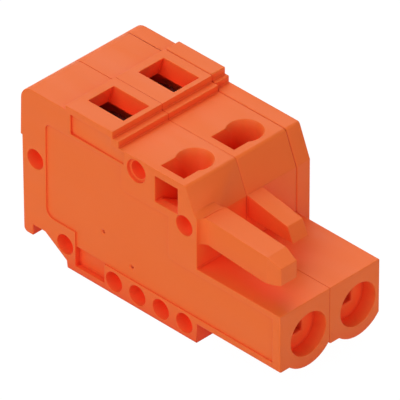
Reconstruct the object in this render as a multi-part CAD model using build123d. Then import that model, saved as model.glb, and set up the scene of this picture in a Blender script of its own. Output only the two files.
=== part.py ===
"""Two-pole pluggable female connector with cage clamps: two housing modules, an end plate,
two contacts and two clamp springs.

Millimetres. While it is drawn, X runs forward from the rear face, Y runs from the near side
face to the far side, and Z runs up from the flat underside. The finished pieces are then
moved so that the origin is the centre of the underside's rectangle.
"""
from build123d import *
from math import sqrt
import os

# Poles and overall sizes
POLES = 2
PITCH = 5.08
BODY_LENGTH = 18.02
BOX_LENGTH = 8.38
END_PLATE_THICKNESS = 1.45

# Heights above the underside
TOOL_ZONE_TOP = 14.30
REAR_ZONE_TOP = 13.94
LEDGE_TOP = 13.75
WIRE_ZONE_TOP = 13.22
SLOPE_FOOT = 10.45
BOX_TOP = 6.55
BOX_BOTTOM = 1.60

# Places along the top, forward from the rear face
TOOL_ZONE_START = 4.65
RIB_FRONT = 9.47
LEDGE_DEPTH = 0.63
SLOPE_RUN = 1.10
TOP_FRONT_RADIUS = 0.30
END_PLATE_RIB_SETBACK = 0.08
END_PLATE_LEDGE_DEPTH = 0.40
END_PLATE_EDGE = 0.10

# Rear face: a band that flares at the top, set back below a step
REAR_STEP_HEIGHT = 9.54
REAR_FLARE = 0.10
REAR_SETBACK = 0.17
REAR_DRAFT = 0.09
REAR_TOP_RADIUS = 1.15

# Underside: hook, notch and slanted run down to the flat
HOOK_FRONT = 1.20
HOOK_BOTTOM = 1.10
HOOK_RADIUS = 0.40
NOTCH_TOP = 2.05
NOTCH_FRONT = 2.45
NOTCH_RADIUS = 0.35
SLANT_FOOT = 4.67
NIB_HEIGHT = 0.59
FLAT_START = 4.75

# Contact line: the middle of barrels, conductor entries and tool openings
CONTACT_Y = 2.92

# Front barrel
BARREL_BORE = 3.58
BARREL_BORE_DEPTH = 1.25
PIN_HOLE = 1.15
PIN_HOLE_LEAD = 0.08
PIN_WALL = 0.80
BARREL_HEIGHT = 3.635
BARREL_RADIUS = 2.78
BOX_EDGE_RADIUS = 0.20
CONTACT_CHANNEL_WIDTH = 2.50
CONTACT_CHANNEL_HEIGHT = 3.20

# Tool opening and conductor entry
TOOL_OPENING_LENGTH = 3.60
TOOL_OPENING_WIDTH = 2.57
TOOL_OPENING_MIDDLE = 7.22
TOOL_OPENING_LEAN = 0.63
ENTRY_MIDDLE = 14.95
ENTRY_DIAMETER = 2.82
ENTRY_BORE = 2.40
ENTRY_LEAD_DEPTH = 0.60
ENTRY_SLOT_LENGTH = 2.30
ENTRY_RAMP_DROP = 1.26

# Walls and the chamber inside
SIDE_WALL = 0.65
REAR_WALL = 2.90
FRONT_WALL = 0.92
POST_FRONT = 2.52
TOP_WALL = 1.70
FLOOR_HEIGHT = 2.40
REAR_FLOOR_HEIGHT = 3.50
REAR_FLOOR_END = 6.00
ENTRY_BLOCK_START = 10.20
ENTRY_BLOCK_FOOT = 10.30
FUNNEL_WALL = 0.55
FUNNEL_FOOT = 9.00
SHOULDER_HEIGHT = 8.45

# Pegs on the far side and their sockets in the near wall
PEG_CLEARANCE = 0.06
SOCKET_DIAMETER = 1.63
SOCKET_EXTRA_DEPTH = 0.30
PEG_LENGTH = 1.05
PEG_CHAMFER = 0.15
END_PLATE_SOCKET_EXTRA = 0.10
SOCKET_ROW_HEIGHT = 1.14
SOCKET_ROW_END = 16.76
SOCKET_ROW_PITCH = 2.40
SOCKET_ROW_COUNT = 4
REAR_SOCKET = (1.51, 7.99)
FOOT_SOCKET = (4.53, 1.94)
FRONT_SOCKET = (16.76, 9.74)
STEPPED_SOCKET = (11.90, 12.08)
STEPPED_SOCKET_DIAMETER = 1.45
STEPPED_RING_DIAMETER = 1.89
STEPPED_RING_DEPTH = 0.25

# Window in the near wall beside the conductor entry
WINDOW_BOTTOM = 10.38
WINDOW_TOP = 12.60

# Shallow recesses and pits of the near side face
PANEL_DEPTH = 0.15
PANEL_RADIUS = 0.50
PANEL_FOOT_RADIUS = 0.75
PANEL_REAR = 2.60
PANEL_TOP = 11.72
PANEL_STEP_HEIGHT = 3.55
PANEL_STEP_X = 5.58
PANEL_BOTTOM = 2.21
PANEL_BOX_END = 25.62
PANEL_BOX_TOP = 6.05
PANEL_MIDDLE_X = 10.30
PANEL_SHOULDER_HEIGHT = 9.70
PANEL_FRONT = 15.10
POCKET_BOTTOM = 0.54
POCKET_END = 8.56
POCKET_DEPTH = 0.50
STRIP_REAR_DEPTH = 0.22
STRIP_FRONT_DEPTH = 0.12
STRIP_REAR = 5.19
STRIP_BOTTOM = 12.03
STRIP_TOP = 13.72
STRIP_STEP_X = 9.30
STRIP_FRONT_TOP = 13.10
STRIP_FRONT = 10.60
PIT_RADIUS = 0.25
PIT_DEPTH = 0.20
PITS = ((8.33, 4.89), (11.25, 3.20))

# Long coding finger, on the near module
LONG_FINGER_LENGTH = 7.70
LONG_FINGER_NEAR = 0.66
LONG_FINGER_WIDTH = 2.05
LONG_FINGER_ROOT_TOP = 10.82
LONG_FINGER_NOSE_TOP = 10.43
LONG_FINGER_NOSE_LENGTH = 1.33
LONG_FINGER_TIP_TOP = 10.02
LONG_FINGER_TIP_BOTTOM = 8.56
LONG_FINGER_NOSE_TAPER_NEAR = 0.05
LONG_FINGER_NOSE_TAPER_FAR = 0.07
LONG_FINGER_TIP_TAPER_NEAR = 0.11
LONG_FINGER_TIP_TAPER_FAR = 0.32
LONG_FINGER_LOW_POINT = 6.00
LONG_FINGER_LOW = 8.10
LONG_FINGER_BELLY_SAG = 0.08
COVE_RUN = 0.33
COVE_RISE = 0.56
COVE_SAG = 0.12
COVE_SKEW = 0.60
ROOT_FLARE_RUN = 0.50
ROOT_FLARE_SAG = 0.13

# Short coding finger, on the far module
SHORT_FINGER_NEAR = 0.08
SHORT_FINGER_WIDTH = 1.57
SHORT_FINGER_TOP_LENGTH = 4.03
SHORT_FINGER_LENGTH = 4.60
SHORT_FINGER_FRONT_TOP = 9.70
SHORT_FINGER_FRONT_BOTTOM = 8.46

# Underside of both fingers where they leave the body
FINGER_ROOT_BOTTOM = 8.60
FINGER_SINK = 0.70

# Contact strip, its bar behind the conductor and its fork in the barrel
STRIP_THICKNESS = 0.60
CONTACT_WIDTH = 1.80
BAR_FUNNEL_CLEARANCE = 0.10
BAR_TOP = 10.00
BAR_BEND_RADIUS = 0.90
FORK_START = 18.30
FORK_ARM = 0.40
FORK_OUTER_HALF_HEIGHT = 1.34
FORK_WAIST = 0.50
FORK_MOUTH = 1.00
FORK_MOUTH_LENGTH = 0.90
FORK_WIDTH = 1.90
SEAT_CLEARANCE = 0.05
BAR_PAD_LENGTH = 2.00
BAR_PAD_TOP = 5.70
BAR_PAD_BOTTOM = 4.00

# Clamp spring: a strip bent to a loop with a flat back, and a window that the bar passes through
SPRING_THICKNESS = 0.35
SPRING_WIDTH = 3.00
SPRING_LOOP_RADIUS = 2.40
SPRING_LOOP_X = 5.70
SPRING_LOOP_HEIGHT = 9.30
SPRING_BACK_END = 7.90
SPRING_NECK_SETBACK = 0.40
SPRING_NECK_DROP = 0.25
SPRING_HEAD_HEIGHT = 9.10
SPRING_HEAD_CLEARANCE = 0.12
SPRING_BEND_RADIUS = 0.80
SPRING_TRAVEL = 2.40
SPRING_STRAP = 0.55

TOTAL_LENGTH = BODY_LENGTH + BOX_LENGTH
TOTAL_WIDTH = POLES * PITCH + END_PLATE_THICKNESS
TO_ORIGIN = Location((-TOTAL_LENGTH / 2, -TOTAL_WIDTH / 2, 0))
CHAMBER_TOP = TOOL_ZONE_TOP - TOP_WALL
CHAMBER_FRONT = BODY_LENGTH - FRONT_WALL
POST_START = BODY_LENGTH - POST_FRONT
BORE_FLOOR = TOTAL_LENGTH - BARREL_BORE_DEPTH
CHANNEL_END = BORE_FLOOR - PIN_WALL
FORK_END = CHANNEL_END - SEAT_CLEARANCE
FUNNEL_START = ENTRY_MIDDLE - ENTRY_SLOT_LENGTH / 2 - FUNNEL_WALL
BAR_MIDDLE = FUNNEL_START - BAR_FUNNEL_CLEARANCE - STRIP_THICKNESS / 2
PEG_SPOTS = [REAR_SOCKET, FOOT_SOCKET, FRONT_SOCKET] + [
    (SOCKET_ROW_END - i * SOCKET_ROW_PITCH, SOCKET_ROW_HEIGHT) for i in range(SOCKET_ROW_COUNT)
]


def side_slab(sketch, y_start, y_end):
    """A side-view sketch, drawn in X and Z, filled from y_start to y_end."""
    plane = Plane(origin=(0, y_start, 0), x_dir=(1, 0, 0), z_dir=(0, -1, 0))
    return extrude(plane * sketch, amount=y_end - y_start, dir=(0, 1, 0))


def plan_slab(sketch, z_start, z_end):
    """A plan-view sketch, drawn in X and Y, filled from z_start to z_end."""
    return extrude(Plane.XY.offset(z_start) * sketch, amount=z_end - z_start)


def outline(points):
    """A filled outline through the points."""
    return make_face(Polyline(*points, close=True))


def rounded(sketch, corners):
    """The sketch with each named corner, (x, y, radius), rounded."""
    for x, y, radius in corners:
        corner = sketch.vertices().sort_by_distance((x, y, 0))[0]
        sketch = fillet(corner, radius)
    return sketch


def side_rectangle(x_start, x_end, z_start, z_end):
    """A side-view rectangle."""
    middle = ((x_start + x_end) / 2, (z_start + z_end) / 2)
    return Pos(*middle) * Rectangle(x_end - x_start, z_end - z_start)


def body_profile(rib_front, ledge_depth):
    """Side view of the body, shared by the modules and the end plate."""
    slope_head = BODY_LENGTH - SLOPE_RUN
    ledge_front = rib_front + ledge_depth
    hook_corner = (REAR_SETBACK + REAR_DRAFT, HOOK_BOTTOM)
    rear_corner = (REAR_FLARE, REAR_ZONE_TOP)
    profile = outline([
        hook_corner,
        (REAR_SETBACK, REAR_STEP_HEIGHT),
        (0, REAR_STEP_HEIGHT),
        rear_corner,
        (TOOL_ZONE_START, REAR_ZONE_TOP),
        (TOOL_ZONE_START, TOOL_ZONE_TOP),
        (rib_front, TOOL_ZONE_TOP),
        (rib_front, LEDGE_TOP),
        (ledge_front, LEDGE_TOP),
        (ledge_front, WIRE_ZONE_TOP),
        (slope_head, WIRE_ZONE_TOP),
        (BODY_LENGTH, SLOPE_FOOT),
        (BODY_LENGTH, 0),
        (FLAT_START, 0),
        (SLANT_FOOT, NIB_HEIGHT),
        (NOTCH_FRONT, NOTCH_TOP),
        (HOOK_FRONT, NOTCH_TOP),
        (HOOK_FRONT, HOOK_BOTTOM),
    ])
    return rounded(profile, [
        (*hook_corner, HOOK_RADIUS),
        (*rear_corner, REAR_TOP_RADIUS),
        (slope_head, WIRE_ZONE_TOP, TOP_FRONT_RADIUS),
        (NOTCH_FRONT, NOTCH_TOP, NOTCH_RADIUS),
    ])


def barrel_box():
    """The front box: a block with a flat near half below and the round barrel beside it."""
    drop = BARREL_HEIGHT - BOX_BOTTOM
    near_touch = CONTACT_Y - sqrt(BARREL_RADIUS ** 2 - drop ** 2)
    far_drop = sqrt(BARREL_RADIUS ** 2 - (PITCH - CONTACT_Y) ** 2)
    arc_start = (near_touch, BOX_BOTTOM)
    arc_end = (PITCH, BARREL_HEIGHT - far_drop)
    edge = Polyline(arc_end, (PITCH, BOX_TOP), (0, BOX_TOP), (0, BOX_BOTTOM), arc_start)
    edge += ThreePointArc(arc_start, (CONTACT_Y, BARREL_HEIGHT - BARREL_RADIUS), arc_end)
    section = rounded(make_face(edge), [
        (0, BOX_BOTTOM, BOX_EDGE_RADIUS),
        (*arc_start, BOX_EDGE_RADIUS),
    ])
    return extrude(Plane.YZ.offset(CHAMBER_FRONT) * section, amount=TOTAL_LENGTH - CHAMBER_FRONT)


def bowed(start, end, sag):
    """An arc from start to end whose middle is pushed to the right of that direction by sag."""
    run = (end[0] - start[0], end[1] - start[1])
    length = sqrt(run[0] ** 2 + run[1] ** 2)
    middle = (
        (start[0] + end[0]) / 2 + run[1] / length * sag,
        (start[1] + end[1]) / 2 - run[0] / length * sag,
    )
    return ThreePointArc(start, middle, end)


def long_finger():
    """The long coding finger: its side view and its plan view, crossed."""
    root = BODY_LENGTH
    foot = root - FINGER_SINK
    tip = root + LONG_FINGER_LENGTH
    nose = tip - LONG_FINGER_NOSE_LENGTH
    cove_end = (root + COVE_RUN, LONG_FINGER_ROOT_TOP)
    crest = LONG_FINGER_ROOT_TOP + COVE_RISE
    crest_x = root - SLOPE_RUN * (crest - SLOPE_FOOT) / (WIRE_ZONE_TOP - SLOPE_FOOT)
    low_point = (root + LONG_FINGER_LOW_POINT, LONG_FINGER_LOW)
    tip_bottom = (tip, LONG_FINGER_TIP_BOTTOM)
    profile = Polyline(
        cove_end, (nose, LONG_FINGER_NOSE_TOP), (tip, LONG_FINGER_TIP_TOP), tip_bottom
    )
    profile += bowed(low_point, tip_bottom, LONG_FINGER_BELLY_SAG)
    profile += Polyline(
        low_point,
        (root, FINGER_ROOT_BOTTOM),
        (foot, FINGER_ROOT_BOTTOM),
        (foot, crest),
        (crest_x, crest),
    )
    profile += bowed((crest_x, crest), cove_end, COVE_SAG)

    near = LONG_FINGER_NEAR
    far = near + LONG_FINGER_WIDTH
    flare_end = (root + ROOT_FLARE_RUN, near)
    plan = bowed(flare_end, (root, 0), ROOT_FLARE_SAG)
    plan += Polyline(
        flare_end,
        (nose, near + LONG_FINGER_NOSE_TAPER_NEAR),
        (tip, near + LONG_FINGER_TIP_TAPER_NEAR),
        (tip, far - LONG_FINGER_TIP_TAPER_FAR),
        (nose, far - LONG_FINGER_NOSE_TAPER_FAR),
        (cove_end[0], far),
        (crest_x, far - COVE_SKEW),
        (foot, far - COVE_SKEW),
        (foot, 0),
        (root, 0),
    )
    return side_slab(make_face(profile), 0, far) & plan_slab(make_face(plan), 0, crest)


def short_finger():
    """The short coding finger: a tapering bar with a slanted nose."""
    root = BODY_LENGTH
    profile = outline([
        (root - FINGER_SINK, FINGER_ROOT_BOTTOM),
        (root - FINGER_SINK, SLOPE_FOOT),
        (root, SLOPE_FOOT),
        (root + SHORT_FINGER_TOP_LENGTH, SHORT_FINGER_FRONT_TOP),
        (root + SHORT_FINGER_LENGTH, SHORT_FINGER_FRONT_BOTTOM),
        (root, FINGER_ROOT_BOTTOM),
    ])
    return side_slab(profile, SHORT_FINGER_NEAR, SHORT_FINGER_NEAR + SHORT_FINGER_WIDTH)


def chamber():
    """The space for contact and spring, open towards the far side."""
    profile = outline([
        (REAR_WALL, REAR_FLOOR_HEIGHT),
        (REAR_WALL, CHAMBER_TOP),
        (ENTRY_BLOCK_START, CHAMBER_TOP),
        (ENTRY_BLOCK_START, ENTRY_BLOCK_FOOT),
        (FUNNEL_START, ENTRY_BLOCK_FOOT),
        (FUNNEL_START, FUNNEL_FOOT),
        (POST_START, FUNNEL_FOOT),
        (POST_START, SHOULDER_HEIGHT),
        (CHAMBER_FRONT, SHOULDER_HEIGHT),
        (CHAMBER_FRONT, FLOOR_HEIGHT),
        (REAR_FLOOR_END, FLOOR_HEIGHT),
        (REAR_FLOOR_END, REAR_FLOOR_HEIGHT),
    ])
    return side_slab(profile, SIDE_WALL, PITCH)


def tool_opening():
    """The rectangular shaft from the top face into the chamber, leaning to the rear below."""
    rear = TOOL_OPENING_MIDDLE - TOOL_OPENING_LENGTH / 2
    front = TOOL_OPENING_MIDDLE + TOOL_OPENING_LENGTH / 2
    profile = outline([
        (rear, TOOL_ZONE_TOP),
        (front, TOOL_ZONE_TOP),
        (front - TOOL_OPENING_LEAN, CHAMBER_TOP),
        (rear - TOOL_OPENING_LEAN, CHAMBER_TOP),
    ])
    half = TOOL_OPENING_WIDTH / 2
    return side_slab(profile, CONTACT_Y - half, CONTACT_Y + half)


def conductor_entry():
    """The keyhole: a bore with a tapered mouth, and a slot beside it whose floor is a ramp."""
    depth = WIRE_ZONE_TOP - SHOULDER_HEIGHT
    slot = outline([
        (SIDE_WALL, WIRE_ZONE_TOP),
        (CONTACT_Y, WIRE_ZONE_TOP),
        (CONTACT_Y, WINDOW_BOTTOM - ENTRY_RAMP_DROP),
        (SIDE_WALL, WINDOW_BOTTOM),
    ])
    slot_start = ENTRY_MIDDLE - ENTRY_SLOT_LENGTH / 2
    bore = Pos(ENTRY_MIDDLE, CONTACT_Y, WIRE_ZONE_TOP - depth / 2) * Cylinder(ENTRY_BORE / 2, depth)
    mouth = Pos(ENTRY_MIDDLE, CONTACT_Y, WIRE_ZONE_TOP - ENTRY_LEAD_DEPTH / 2) * Cone(
        ENTRY_BORE / 2, ENTRY_DIAMETER / 2, ENTRY_LEAD_DEPTH
    )
    return [extrude(Plane.YZ.offset(slot_start) * slot, amount=ENTRY_SLOT_LENGTH), bore, mouth]


def barrel_bore():
    """The round bore of the mating face, the pin hole in its floor and the contact's channel."""
    middle = Pos(CONTACT_Y, BARREL_HEIGHT)
    bore = extrude(Plane.YZ.offset(BORE_FLOOR) * middle * Circle(BARREL_BORE / 2), amount=BARREL_BORE_DEPTH)
    pin_square = middle * Rectangle(PIN_HOLE, PIN_HOLE)
    lead_square = middle * Rectangle(PIN_HOLE + 2 * PIN_HOLE_LEAD, PIN_HOLE + 2 * PIN_HOLE_LEAD)
    pin_hole = extrude(Plane.YZ.offset(CHANNEL_END) * pin_square, amount=PIN_WALL)
    lead = loft([
        Plane.YZ.offset(BORE_FLOOR - PIN_HOLE_LEAD) * pin_square,
        Plane.YZ.offset(BORE_FLOOR) * lead_square,
    ])
    channel = middle * Rectangle(CONTACT_CHANNEL_WIDTH, CONTACT_CHANNEL_HEIGHT)
    run = extrude(Plane.YZ.offset(CHAMBER_FRONT) * channel, amount=CHANNEL_END - CHAMBER_FRONT)
    return [bore, pin_hole, lead, run]


def side_hole(spot, diameter, depth, y_start=0):
    """A round hole in a side face, at (x, z), going in the far direction."""
    return side_slab(Pos(*spot) * Circle(diameter / 2), y_start, y_start + depth)


def sockets():
    """The round holes of the near wall that take the next module's pegs."""
    depth = PEG_LENGTH + SOCKET_EXTRA_DEPTH
    holes = [side_hole(spot, SOCKET_DIAMETER, depth) for spot in PEG_SPOTS]
    holes.append(side_hole(STEPPED_SOCKET, STEPPED_SOCKET_DIAMETER, depth))
    holes.append(side_hole(STEPPED_SOCKET, STEPPED_RING_DIAMETER, STEPPED_RING_DEPTH))
    return holes


def pegs():
    """The chamfered pegs on the far side that fill the next piece's sockets."""
    spots = [(spot, SOCKET_DIAMETER) for spot in PEG_SPOTS]
    spots.append((STEPPED_SOCKET, STEPPED_SOCKET_DIAMETER))
    made = []
    for spot, hole in spots:
        peg = side_hole(spot, hole - 2 * PEG_CLEARANCE, PEG_LENGTH, PITCH)
        tip = peg.edges().filter_by(GeomType.CIRCLE).sort_by(Axis.Y)[-1]
        made.append(chamfer(tip, PEG_CHAMFER))
    return made


def side_recesses():
    """The shallow panel and pocket, the strip under the ribs and the pits of the near side face."""
    panel = outline([
        (PANEL_REAR, PANEL_STEP_HEIGHT),
        (PANEL_REAR, PANEL_TOP),
        (PANEL_MIDDLE_X, PANEL_TOP),
        (PANEL_MIDDLE_X, PANEL_SHOULDER_HEIGHT),
        (PANEL_FRONT, PANEL_SHOULDER_HEIGHT),
        (PANEL_FRONT, PANEL_BOX_TOP),
        (PANEL_BOX_END, PANEL_BOX_TOP),
        (PANEL_BOX_END, PANEL_BOTTOM),
        (PANEL_STEP_X, PANEL_BOTTOM),
        (PANEL_STEP_X, PANEL_STEP_HEIGHT),
    ])
    panel = rounded(panel, [
        (PANEL_REAR, PANEL_STEP_HEIGHT, PANEL_FOOT_RADIUS),
        (PANEL_REAR, PANEL_TOP, PANEL_RADIUS),
        (PANEL_MIDDLE_X, PANEL_SHOULDER_HEIGHT, PANEL_RADIUS),
        (PANEL_FRONT, PANEL_BOX_TOP, PANEL_RADIUS),
    ])
    pocket = side_rectangle(PANEL_STEP_X, POCKET_END, POCKET_BOTTOM, PANEL_BOTTOM)
    cuts = [side_slab(panel, 0, PANEL_DEPTH), side_slab(pocket, 0, POCKET_DEPTH), strip_recess()]
    for x, z in PITS:
        pit = Plane(origin=(x, PANEL_DEPTH + PIT_DEPTH / 2, z), z_dir=(0, 1, 0))
        cuts.append(pit * Cone(PIT_RADIUS, 0, PIT_DEPTH))
    return cuts


def strip_recess():
    """The recess under the ribs, deepest at its rear end and lower where it passes the ledge."""
    sketch = outline([
        (STRIP_REAR, STRIP_BOTTOM),
        (STRIP_REAR, STRIP_TOP),
        (STRIP_STEP_X, STRIP_TOP),
        (STRIP_STEP_X, STRIP_FRONT_TOP),
        (STRIP_FRONT, STRIP_FRONT_TOP),
        (STRIP_FRONT, STRIP_BOTTOM),
    ])
    floor_line = outline([
        (STRIP_REAR, 0),
        (STRIP_REAR, STRIP_REAR_DEPTH),
        (STRIP_FRONT, STRIP_FRONT_DEPTH),
        (STRIP_FRONT, 0),
    ])
    return side_slab(sketch, 0, STRIP_REAR_DEPTH) & plan_slab(floor_line, STRIP_BOTTOM, STRIP_TOP)


def side_window():
    """The rectangular window from the near face into the conductor entry's slot."""
    half = ENTRY_SLOT_LENGTH / 2
    sketch = side_rectangle(ENTRY_MIDDLE - half, ENTRY_MIDDLE + half, WINDOW_BOTTOM, WINDOW_TOP)
    return side_slab(sketch, 0, SIDE_WALL)


def bar_pad():
    """The pad on the near wall that carries the contact's side edge."""
    sketch = side_rectangle(
        BAR_MIDDLE - BAR_PAD_LENGTH / 2, BAR_MIDDLE + BAR_PAD_LENGTH / 2, BAR_PAD_BOTTOM, BAR_PAD_TOP
    )
    reach = CONTACT_Y - CONTACT_WIDTH / 2 - SEAT_CLEARANCE
    return side_slab(sketch, SIDE_WALL / 2, reach)


def housing_module(finger):
    """One pole's housing with the given coding finger, its near face at Y = 0."""
    shell = side_slab(body_profile(RIB_FRONT, LEDGE_DEPTH), 0, PITCH)
    shell += [barrel_box(), finger]
    shell -= chamber()
    shell += bar_pad()
    shell -= [tool_opening(), side_window()]
    shell -= conductor_entry() + barrel_bore() + sockets() + side_recesses()
    shell += pegs()
    return shell


def end_plate():
    """The plate that closes the last module's open side, bevelled where it meets the module."""
    profile = body_profile(RIB_FRONT - END_PLATE_RIB_SETBACK, END_PLATE_LEDGE_DEPTH)
    plate = side_slab(profile, 0, END_PLATE_THICKNESS)
    joint_face = plate.faces().sort_by(Axis.Y)[0]
    plate = chamfer(joint_face.outer_wire().edges(), END_PLATE_EDGE)
    depth = PEG_LENGTH + END_PLATE_SOCKET_EXTRA
    holes = [side_hole(spot, SOCKET_DIAMETER, depth) for spot in PEG_SPOTS]
    holes.append(side_hole(STEPPED_SOCKET, STEPPED_SOCKET_DIAMETER, depth))
    return plate - holes


def contact():
    """One bent strip: the clamp bar, the run to the barrel and the fork that grips the pin."""
    half = STRIP_THICKNESS / 2
    near = CONTACT_Y - CONTACT_WIDTH / 2
    far = CONTACT_Y + CONTACT_WIDTH / 2
    run_bottom = BARREL_HEIGHT - half
    run_top = BARREL_HEIGHT + half
    strip = outline([
        (BAR_MIDDLE - half, BAR_TOP),
        (BAR_MIDDLE + half, BAR_TOP),
        (BAR_MIDDLE + half, run_top),
        (FORK_START, run_top),
        (FORK_START, run_bottom),
        (BAR_MIDDLE - half, run_bottom),
    ])
    strip = rounded(strip, [
        (BAR_MIDDLE - half, run_bottom, BAR_BEND_RADIUS),
        (BAR_MIDDLE + half, run_top, BAR_BEND_RADIUS - STRIP_THICKNESS),
    ])
    piece = side_slab(strip, near, far)
    waist = FORK_END - FORK_MOUTH_LENGTH
    for side in (-1, 1):
        arm = outline([
            (FORK_START, BARREL_HEIGHT),
            (FORK_START, BARREL_HEIGHT + side * FORK_OUTER_HALF_HEIGHT),
            (FORK_START + FORK_ARM, BARREL_HEIGHT + side * FORK_OUTER_HALF_HEIGHT),
            (waist, BARREL_HEIGHT + side * (FORK_WAIST + FORK_ARM)),
            (FORK_END, BARREL_HEIGHT + side * (FORK_MOUTH + FORK_ARM / 2)),
            (FORK_END, BARREL_HEIGHT + side * FORK_MOUTH),
            (waist, BARREL_HEIGHT + side * FORK_WAIST),
            (FORK_START + FORK_ARM, BARREL_HEIGHT + side * (FORK_OUTER_HALF_HEIGHT - FORK_ARM)),
            (FORK_START + FORK_ARM, BARREL_HEIGHT),
        ])
        piece += side_slab(arm, CONTACT_Y - FORK_WIDTH / 2, CONTACT_Y + FORK_WIDTH / 2)
    return piece


def cage_spring():
    """One strip bent to a loop, whose lower leg has a window round the contact's bar."""
    near = CONTACT_Y - SPRING_WIDTH / 2
    far = CONTACT_Y + SPRING_WIDTH / 2
    bar_rear = BAR_MIDDLE - STRIP_THICKNESS / 2
    bar_front = BAR_MIDDLE + STRIP_THICKNESS / 2
    head = (bar_rear - SPRING_HEAD_CLEARANCE, SPRING_HEAD_HEIGHT)
    neck = (ENTRY_BLOCK_START - SPRING_NECK_SETBACK, ENTRY_BLOCK_FOOT - SPRING_NECK_DROP)
    back_height = SPRING_LOOP_HEIGHT + SPRING_LOOP_RADIUS
    leg_height = SPRING_LOOP_HEIGHT - SPRING_LOOP_RADIUS
    loop_top = (SPRING_LOOP_X, back_height)
    loop_rear = (SPRING_LOOP_X - SPRING_LOOP_RADIUS, SPRING_LOOP_HEIGHT)
    loop_bottom = (SPRING_LOOP_X, leg_height)
    leg_end = (bar_front + SEAT_CLEARANCE + SPRING_STRAP, leg_height)
    back_end = (SPRING_BACK_END, back_height)
    path = FilletPolyline(head, neck, back_end, loop_top, radius=SPRING_BEND_RADIUS)
    path += ThreePointArc(loop_top, loop_rear, loop_bottom)
    path += Line(loop_bottom, leg_end)
    strip = trace(path, line_width=SPRING_THICKNESS)
    window_start = bar_rear - SEAT_CLEARANCE - SPRING_TRAVEL
    window_end = bar_front + SEAT_CLEARANCE
    window = Pos((window_start + window_end) / 2, CONTACT_Y) * Rectangle(
        window_end - window_start, CONTACT_WIDTH + 2 * SEAT_CLEARANCE
    )
    half = SPRING_THICKNESS / 2
    return side_slab(strip, near, far) - plan_slab(window, leg_height - half, leg_height + half)


def save(name, shape):
    """Moves a finished piece to the shared origin and writes it."""
    shape.label = name
    export_step(TO_ORIGIN * shape, f"parts/{name}.step")


os.makedirs("parts", exist_ok=True)
fingers = [long_finger()] + [short_finger() for _ in range(POLES - 1)]
for pole in range(POLES):
    shift = Pos(0, pole * PITCH, 0)
    save(f"housing_module_{pole + 1}", shift * housing_module(fingers[pole]))
    save(f"contact_{pole + 1}", shift * contact())
    save(f"cage_spring_{pole + 1}", shift * cage_spring())
save("end_plate", Pos(0, POLES * PITCH, 0) * end_plate())
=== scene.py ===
"""Looks of the two-pole pluggable connector: orange moulded plastic, tinned contacts, spring steel.

Metres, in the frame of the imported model: X forward, Y from the near side to the far side, Z up.
Angles are in degrees and colours are linear.
"""
from math import cos, radians, sin

import bpy
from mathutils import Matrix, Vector

MM = 0.001
WHITE = (1, 1, 1)
POLES = 2
PITCH = 5.08 * MM

# Camera, fitted to the photograph's 400 x 400 frame
IMAGE_SIZE = 400
CAMERA_AZIMUTH = 44.91
CAMERA_ELEVATION = 35.224
CAMERA_DISTANCE = 721.5 * MM
CAMERA_TARGET = Vector((-0.95, 0.332, 6.678)) * MM
FOCAL_PIXELS = 9986.8
SENSOR_WIDTH = 36.0
CLIP_FACTOR = 20

# Edges of the mouldings; the end plate's are rounded more, which opens its seam
WELD_DISTANCE = 0.052 * MM
FLAT_ANGLE = 0.4
SHARP_ANGLE = 28.0
EDGE_WIDTH = 0.055 * MM
PLATE_EDGE_WIDTH = 0.08 * MM
EDGE_SEGMENTS = 2

# Where most of a noise lies, between 0 and 1
NOISE_RANGE = (0.3, 0.7)

# Plastic: its colour in the open, its painted shade in recesses and in seams, and its surface
PLASTIC = (0.98, 0.187, 0.034)
PLASTIC_DEEP = (0.965, 0.174, 0.029)
# Painted shade: within reach of nearby faces the plastic turns a deeper red, for the shade and red bounce
# light in recesses
PLASTIC_PAINTED_RECESS_SHADE = (0.98, 0.112, 0.030)
RECESS_SHADE_REACH = 3.0 * MM
RECESS_SHADE_OPENNESS = (0.45, 0.92)
# Painted shade: close to other faces, in seams, creases and inner corners, the plastic turns a dark red
PLASTIC_PAINTED_SEAM_SHADE = (0.72, 0.036, 0.010)
SEAM_SHADE_REACH = 0.35 * MM
SEAM_SHADE_OPENNESS = (0.35, 0.80)
OPENNESS_SAMPLES = 6
PLASTIC_ROUGHNESS = (0.40, 0.52)
PLASTIC_SPECULAR = 0.16
CLOUD_SIZE = 7.0 * MM
CLOUD_DETAIL = 3.0
CLOUD_SHARE = 0.65
STREAK_SIZE = 1.6 * MM
STREAK_DETAIL = 2.0
STREAK_SHARE = 0.35
STREAK_STRETCH = 6.0
GRAIN_SIZE = 0.07 * MM
GRAIN_DETAIL = 4.0
GRAIN_HEIGHT = 0.0012 * MM
WAVE_SIZE = 2.2 * MM
WAVE_DETAIL = 2.0
WAVE_HEIGHT = 0.004 * MM

# Rolled metals
TIN = (0.62, 0.60, 0.56)
TIN_ROUGHNESS = (0.22, 0.38)
STEEL = (0.25, 0.245, 0.25)
STEEL_ROUGHNESS = (0.28, 0.42)
METAL_DETAIL = 3.0
PATCH_SIZE = 1.2 * MM
PATCH_SHADE = 0.82
LINE_SIZE = 0.05 * MM
LINE_STRETCH = 8.0
LINE_HEIGHT = 0.001 * MM

# Stage; the floor lies just under the connector, and the world gives no light of its own
FLOOR_SIZE = 4.0
FLOOR_LEVEL = -0.02 * MM
FLOOR_COLOUR = (0.80, 0.80, 0.80)
BACKGROUND_LEVEL = 1.04
FLOOR_SHADOW_SHARE = 0.05
AMBIENT_LEVEL = 0.0
DIFFUSE_BOUNCES = 12

# Softboxes around the connector
SOFTBOX_DISTANCE = 0.6
SOFTBOX_SIZE = 0.5
FRONT_COLOUR = (1, 0.84, 0.88)

# Weak red lamps under the tool openings, for the light that the plastic's thin walls let through
CHAMBER_LAMP_PLACE = Vector((-6.2, -3.95, 12.1)) * MM
CHAMBER_LAMP_AIM = Vector((-0.1, 0.9, 0.1))
CHAMBER_LAMP_SPREAD = 140.0
CHAMBER_LAMP_SIZE = 0.8 * MM
CHAMBER_LAMP_POWER = 0.00002
CHAMBER_LAMP_COLOUR = (1, 0.16, 0.10)


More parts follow.
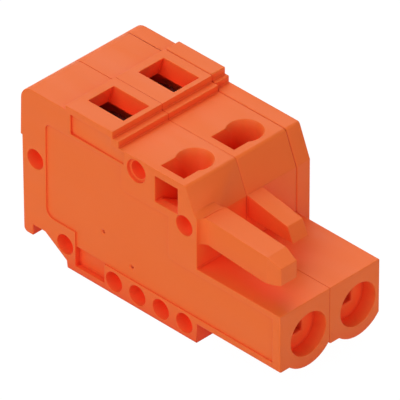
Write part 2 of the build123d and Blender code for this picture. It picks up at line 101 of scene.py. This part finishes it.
def material(name):
    """A new node material with its tree, its Principled shader and its object coordinates."""
    made = bpy.data.materials.new(name)
    made.use_nodes = True
    tree = made.node_tree
    shader = tree.nodes["Principled BSDF"]
    place = tree.nodes.new("ShaderNodeTexCoord").outputs["Object"]
    return made, tree, shader, place


def noise(tree, place, size, detail, stretch=1):
    """Noise whose features are about size across, drawn out along X by stretch."""
    mapping = tree.nodes.new("ShaderNodeMapping")
    mapping.inputs["Scale"].default_value = (1 / stretch, 1, 1)
    tree.links.new(place, mapping.inputs["Vector"])
    texture = tree.nodes.new("ShaderNodeTexNoise")
    texture.inputs["Scale"].default_value = 1 / size
    texture.inputs["Detail"].default_value = detail
    tree.links.new(mapping.outputs["Vector"], texture.inputs["Vector"])
    return texture.outputs["Fac"]


def spread(tree, value, low, high, within=NOISE_RANGE):
    """A pattern value, moved from the range within to the range low to high."""
    scaled = tree.nodes.new("ShaderNodeMapRange")
    scaled.inputs["From Min"].default_value = within[0]
    scaled.inputs["From Max"].default_value = within[1]
    scaled.inputs["To Min"].default_value = low
    scaled.inputs["To Max"].default_value = high
    tree.links.new(value, scaled.inputs["Value"])
    return scaled.outputs["Result"]


def blend_colours(tree, share, first, second):
    """Two colours mixed by a pattern."""
    mix = tree.nodes.new("ShaderNodeMix")
    mix.data_type = "RGBA"
    mix.inputs["A"].default_value = (*first, 1)
    mix.inputs["B"].default_value = (*second, 1)
    tree.links.new(share, mix.inputs["Factor"])
    return mix.outputs["Result"]


def paint_shade_where_closed(tree, colour, deep, reach, openness):
    """Painted shade: the colour, turned to the deep one where other faces stand closer than the reach."""
    occlusion = tree.nodes.new("ShaderNodeAmbientOcclusion")
    occlusion.samples = OPENNESS_SAMPLES
    occlusion.inputs["Distance"].default_value = reach
    mix = tree.nodes.new("ShaderNodeMix")
    mix.data_type = "RGBA"
    mix.inputs["A"].default_value = (*deep, 1)
    tree.links.new(colour, mix.inputs["B"])
    tree.links.new(spread(tree, occlusion.outputs["AO"], 0, 1, openness), mix.inputs["Factor"])
    return mix.outputs["Result"]


def bump(tree, pattern, height, below=None):
    """A bump of that height from a pattern, over another bump if one is given."""
    made = tree.nodes.new("ShaderNodeBump")
    made.inputs["Strength"].default_value = 1.0
    made.inputs["Distance"].default_value = height
    tree.links.new(pattern, made.inputs["Height"])
    if below is not None:
        tree.links.new(below, made.inputs["Normal"])
    return made.outputs["Normal"]


def plastic():
    """Orange moulded polyamide: faint clouds and flow streaks, a fine matt grain, soft waves, and painted
    shade that deepens the colour in recesses and seams.
    """
    made, tree, shader, place = material("orange_plastic")
    cloud = noise(tree, place, CLOUD_SIZE, CLOUD_DETAIL)
    streak = noise(tree, place, STREAK_SIZE, STREAK_DETAIL, STREAK_STRETCH)
    both = tree.nodes.new("ShaderNodeMath")
    both.operation = "MULTIPLY_ADD"
    both.inputs[1].default_value = STREAK_SHARE
    tree.links.new(streak, both.inputs[0])
    tree.links.new(spread(tree, cloud, 0, CLOUD_SHARE), both.inputs[2])
    open_colour = blend_colours(tree, both.outputs[0], PLASTIC_DEEP, PLASTIC)
    # Painted shade in recesses, then darker painted shade in seams and creases
    recess_shaded = paint_shade_where_closed(tree, open_colour, PLASTIC_PAINTED_RECESS_SHADE, RECESS_SHADE_REACH, RECESS_SHADE_OPENNESS)
    seam_shaded = paint_shade_where_closed(tree, recess_shaded, PLASTIC_PAINTED_SEAM_SHADE, SEAM_SHADE_REACH, SEAM_SHADE_OPENNESS)
    tree.links.new(seam_shaded, shader.inputs["Base Color"])
    tree.links.new(spread(tree, streak, *PLASTIC_ROUGHNESS), shader.inputs["Roughness"])
    wave = bump(tree, noise(tree, place, WAVE_SIZE, WAVE_DETAIL), WAVE_HEIGHT)
    grain = bump(tree, noise(tree, place, GRAIN_SIZE, GRAIN_DETAIL), GRAIN_HEIGHT, wave)
    tree.links.new(grain, shader.inputs["Normal"])
    shader.inputs["Specular IOR Level"].default_value = PLASTIC_SPECULAR
    return made


def rolled_metal(name, colour, roughness):
    """Rolled strip metal with dull patches and fine lines along the rolling direction."""
    made, tree, shader, place = material(name)
    lines = noise(tree, place, LINE_SIZE, METAL_DETAIL, LINE_STRETCH)
    patches = noise(tree, place, PATCH_SIZE, METAL_DETAIL)
    darker = [PATCH_SHADE * c for c in colour]
    tree.links.new(blend_colours(tree, patches, darker, colour), shader.inputs["Base Color"])
    tree.links.new(spread(tree, lines, *roughness), shader.inputs["Roughness"])
    tree.links.new(bump(tree, lines, LINE_HEIGHT), shader.inputs["Normal"])
    shader.inputs["Metallic"].default_value = 1.0
    return made


def dress(node, finish):
    """Gives a CAD node one finish."""
    node.data.materials.clear()
    node.data.materials.append(finish)


def soften_edges(node, width):
    """Rounds the node's sharp edges a little, as a mould leaves them."""
    weld = node.modifiers.new("weld", "WELD")
    weld.merge_threshold = WELD_DISTANCE
    flat = node.modifiers.new("join_flat_faces", "DECIMATE")
    flat.decimate_type = "DISSOLVE"
    flat.angle_limit = radians(FLAT_ANGLE)
    edge = node.modifiers.new("soft_edges", "BEVEL")
    edge.width = width
    edge.segments = EDGE_SEGMENTS
    edge.limit_method = "ANGLE"
    edge.angle_limit = radians(SHARP_ANGLE)
    edge.use_clamp_overlap = False
    edge.harden_normals = False


def seen_directly(tree):
    """1 for camera, glossy and transmission rays, 0 for the rays that carry soft light."""
    path = tree.nodes.new("ShaderNodeLightPath")
    total = path.outputs["Is Camera Ray"]
    for kind in ("Is Glossy Ray", "Is Transmission Ray"):
        most = tree.nodes.new("ShaderNodeMath")
        most.operation = "MAXIMUM"
        tree.links.new(total, most.inputs[0])
        tree.links.new(path.outputs[kind], most.inputs[1])
        total = most.outputs[0]
    return total


def mix_shaders(tree, share, first, second):
    """Two shaders mixed by a number or by a node's output."""
    mix = tree.nodes.new("ShaderNodeMixShader")
    if isinstance(share, float):
        mix.inputs["Fac"].default_value = share
    else:
        tree.links.new(share, mix.inputs["Fac"])
    tree.links.new(first, mix.inputs[1])
    tree.links.new(second, mix.inputs[2])
    return mix.outputs[0]


def pale_floor_material():
    """A pale surface that cameras and mirrors see as a white ground, with a faint shadow on it."""
    made, tree, shader, _ = material("pale_floor")
    tree.nodes.remove(shader)
    plain = tree.nodes.new("ShaderNodeBsdfDiffuse")
    plain.inputs["Color"].default_value = (*FLOOR_COLOUR, 1)
    glow = tree.nodes.new("ShaderNodeEmission")
    glow.inputs["Strength"].default_value = BACKGROUND_LEVEL
    white = mix_shaders(tree, FLOOR_SHADOW_SHARE, glow.outputs[0], plain.outputs[0])
    chosen = mix_shaders(tree, seen_directly(tree), plain.outputs[0], white)
    tree.links.new(chosen, tree.nodes["Material Output"].inputs["Surface"])
    return made


def floor():
    """A pale floor under the connector."""
    half = FLOOR_SIZE / 2
    mesh = bpy.data.meshes.new("floor")
    corners = [(-half, -half), (half, -half), (half, half), (-half, half)]
    mesh.from_pydata([(x, y, FLOOR_LEVEL) for x, y in corners], [], [(0, 1, 2, 3)])
    mesh.materials.append(pale_floor_material())
    made = bpy.data.objects.new("floor", mesh)
    bpy.context.scene.collection.objects.link(made)


def background(tree, level):
    """A white world shader of that level."""
    made = tree.nodes.new("ShaderNodeBackground")
    made.inputs["Color"].default_value = (*WHITE, 1)
    made.inputs["Strength"].default_value = level
    return made.outputs[0]


def surroundings():
    """A world that cameras and mirrors see as white; what light it gives is set apart from that."""
    world = bpy.data.worlds.new("studio")
    world.use_nodes = True
    tree = world.node_tree
    tree.nodes.clear()
    soft = background(tree, AMBIENT_LEVEL)
    white = background(tree, BACKGROUND_LEVEL)
    output = tree.nodes.new("ShaderNodeOutputWorld")
    tree.links.new(mix_shaders(tree, seen_directly(tree), soft, white), output.inputs["Surface"])
    bpy.context.scene.world = world


def direction(azimuth, elevation):
    """Unit vector from the connector towards a viewer; azimuth 0 stands on the near side."""
    a = radians(azimuth)
    e = radians(elevation)
    return Vector((sin(a) * cos(e), -cos(a) * cos(e), sin(e)))


def add_object(name, data, place, back):
    """A lamp or camera at a place, with its back turned to the direction back."""
    made = bpy.data.objects.new(name, data)
    made.location = place
    made.rotation_mode = "QUATERNION"
    made.rotation_quaternion = back.to_track_quat("Z", "Y")
    bpy.context.scene.collection.objects.link(made)
    return made


def panel(name, size, power, colour):
    """The data of a square area lamp."""
    data = bpy.data.lights.new(name, "AREA")
    data.shape = "SQUARE"
    data.size = size
    data.energy = power
    data.color = colour
    return data


def softbox(name, azimuth, elevation, power, colour=WHITE):
    """A large panel that looks at the connector's middle."""
    back = direction(azimuth, elevation)
    data = panel(name, SOFTBOX_SIZE, power, colour)
    add_object(name, data, CAMERA_TARGET + back * SOFTBOX_DISTANCE, back)


def chamber_lamp(pole):
    """A small panel under that pole's tool opening, facing its far wall, unseen by camera and mirrors."""
    name = f"chamber_lamp_{pole + 1}"
    data = panel(name, CHAMBER_LAMP_SIZE, CHAMBER_LAMP_POWER, CHAMBER_LAMP_COLOUR)
    data.spread = radians(CHAMBER_LAMP_SPREAD)
    place = CHAMBER_LAMP_PLACE + Vector((0, pole * PITCH, 0))
    lamp = add_object(name, data, place, -CHAMBER_LAMP_AIM)
    lamp.visible_camera = False
    lamp.visible_glossy = False


def camera():
    """The photograph's camera."""
    data = bpy.data.cameras.new("camera")
    data.sensor_fit = "HORIZONTAL"
    data.sensor_width = SENSOR_WIDTH
    data.lens = SENSOR_WIDTH * FOCAL_PIXELS / IMAGE_SIZE
    data.clip_start = CAMERA_DISTANCE / CLIP_FACTOR
    data.clip_end = CAMERA_DISTANCE * CLIP_FACTOR
    back = direction(CAMERA_AZIMUTH, CAMERA_ELEVATION)
    made = add_object("camera", data, CAMERA_TARGET + back * CAMERA_DISTANCE, back)
    bpy.context.scene.camera = made


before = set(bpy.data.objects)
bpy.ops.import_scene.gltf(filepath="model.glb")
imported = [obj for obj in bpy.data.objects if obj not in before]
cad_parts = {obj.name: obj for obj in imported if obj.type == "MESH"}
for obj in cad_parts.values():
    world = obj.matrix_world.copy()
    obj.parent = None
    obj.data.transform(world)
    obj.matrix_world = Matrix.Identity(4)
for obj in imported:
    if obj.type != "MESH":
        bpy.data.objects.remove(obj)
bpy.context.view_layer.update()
orange = plastic()
tin = rolled_metal("tinned_copper", TIN, TIN_ROUGHNESS)
steel = rolled_metal("spring_steel", STEEL, STEEL_ROUGHNESS)
for name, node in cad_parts.items():
    if name.startswith("contact"):
        dress(node, tin)
    elif name.startswith("cage_spring"):
        dress(node, steel)
    else:
        dress(node, orange)
        soften_edges(node, PLATE_EDGE_WIDTH if name == "end_plate" else EDGE_WIDTH)

floor()
surroundings()
softbox("near_high", azimuth=0, elevation=55, power=0.82)
softbox("near_low", azimuth=0, elevation=15, power=1.52)
softbox("rear_top", azimuth=-60, elevation=75, power=0.35)
softbox("rear_far", azimuth=-120, elevation=45, power=1.84)
softbox("far_side", azimuth=180, elevation=50, power=0.44)
softbox("camera_side", azimuth=45, elevation=20, power=0.21)
softbox("front", azimuth=90, elevation=15, power=1.30, colour=FRONT_COLOUR)
for pole in range(POLES):
    chamber_lamp(pole)
camera()
bpy.context.scene.view_settings.view_transform = "Standard"
bpy.context.scene.cycles.diffuse_bounces = DIFFUSE_BOUNCES
